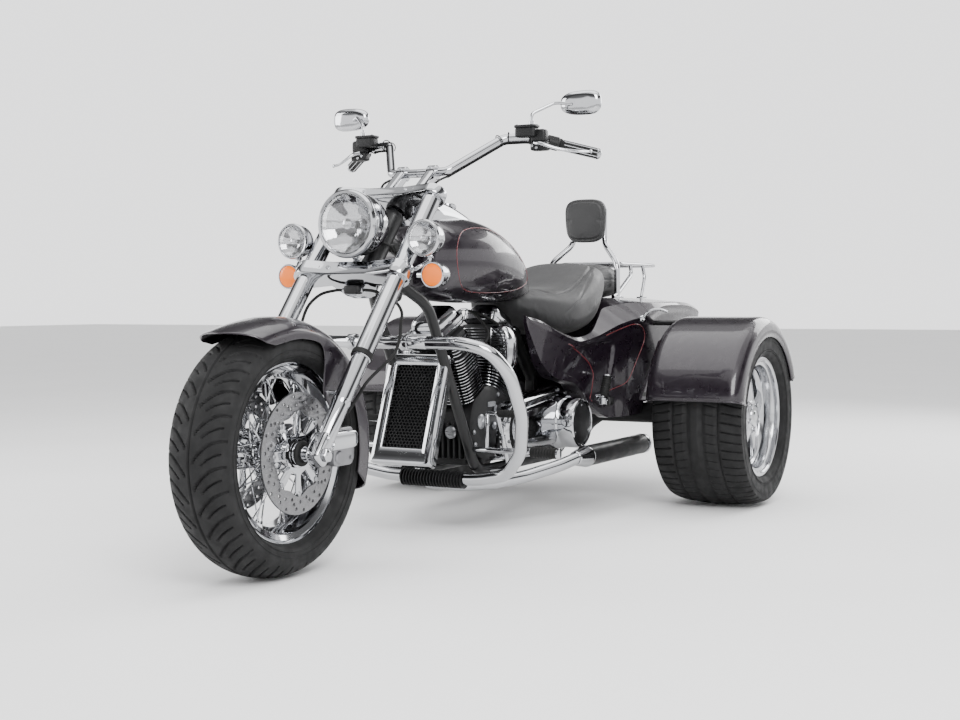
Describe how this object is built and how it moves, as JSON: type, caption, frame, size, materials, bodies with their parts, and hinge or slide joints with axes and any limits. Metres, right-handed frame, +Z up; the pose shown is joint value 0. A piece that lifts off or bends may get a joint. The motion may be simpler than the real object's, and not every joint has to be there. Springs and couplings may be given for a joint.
{
  "type": "motorized trike",
  "caption": "Motorized trike: steered front wheel on a raked fork, V-twin engine, dark body with two fendered rear wheels, seats, rack and luggage door.",
  "frame": {"origin": "centre of the bounding box at the ground, between the front and the rear tyre", "axes": "+Z up, -Y towards the front of the vehicle, +X towards the rider's left"},
  "size_m": [1.49, 2.717, 1.3302],
  "materials": {
    "paint": "gloss metallic",
    "chrome": "polished",
    "steel": "brushed",
    "alloy": "polished",
    "black_metal": "satin",
    "tyre": "matte",
    "rubber": "matte",
    "vinyl": "satin grain",
    "amber_lens": "gloss",
    "red_lens": "gloss"
  },
  "bodies": {
    "chassis": {"frame": "black_metal", "rear_subframe": "black_metal", "rear_axle": "black_metal", "crankcase": "black_metal", "cylinders": "black_metal", "rocker_boxes": "chrome", "primary_cover": "chrome", "timing_cover": "chrome", "air_cleaner": "chrome", "horn": "chrome", "radiator": "black_metal", "radiator_shroud": "chrome", "voltage_regulator": "black_metal", "engine_guard": "chrome", "exhaust": "chrome", "foot_controls": "chrome", "fuel_tank": "paint", "tank_console": "chrome", "seat": "vinyl", "pillion_seat": "vinyl", "sissy_bar": "chrome", "backrest_pad": "vinyl", "luggage_rack": "chrome", "rear_body": "paint", "rear_fenders": "paint", "rear_lights": "red_lens"},
    "front_end": {"front_axle": "chrome", "fork_legs": "chrome", "lower_triple_clamp": "chrome", "upper_triple_clamp": "chrome", "front_fender": "paint", "brake_calipers": "steel", "brake_hoses": "rubber", "headlight": "chrome", "spotlights": "chrome", "front_turn_signals": "amber_lens", "handlebar": "chrome", "hand_grips": "rubber", "hand_controls": "black_metal", "control_cables": "rubber", "mirrors": "chrome"},
    "front_wheel": {"front_tyre": "tyre", "front_rim": "chrome", "front_spokes": "chrome", "front_hub": "chrome", "front_brake_discs": "steel"},
    "rear_left_wheel": {"rear_tyre_left": "tyre", "rear_wheel_left": "alloy"},
    "rear_right_wheel": {"rear_tyre_right": "tyre", "rear_wheel_right": "alloy"},
    "trunk": {"trunk_door": "paint", "plate_bracket": "black_metal"}
  },
  "joints": [
    {"name": "steering", "type": "hinge", "parent": "chassis", "child": "front_end", "pos_m": [0, -0.54642, 0.82088], "axis": [0, 0.6428, 0.766], "range_deg": [-30, 30]},
    {"name": "front_wheel_spin", "type": "hinge", "parent": "front_end", "child": "front_wheel", "pos_m": [0, -1.0385, 0.32], "axis": [1, 0, 0], "continuous": true},
    {"name": "rear_left_spin", "type": "hinge", "parent": "chassis", "child": "rear_left_wheel", "pos_m": [0.58, 0.7765, 0.305], "axis": [1, 0, 0], "continuous": true},
    {"name": "rear_right_spin", "type": "hinge", "parent": "chassis", "child": "rear_right_wheel", "pos_m": [-0.58, 0.7765, 0.305], "axis": [1, 0, 0], "continuous": true},
    {"name": "trunk_hinge", "type": "hinge", "parent": "chassis", "child": "trunk", "pos_m": [0, 1.3465, 0.392], "axis": [-1, 0, 0], "range_deg": [0, 85]}
  ]
}
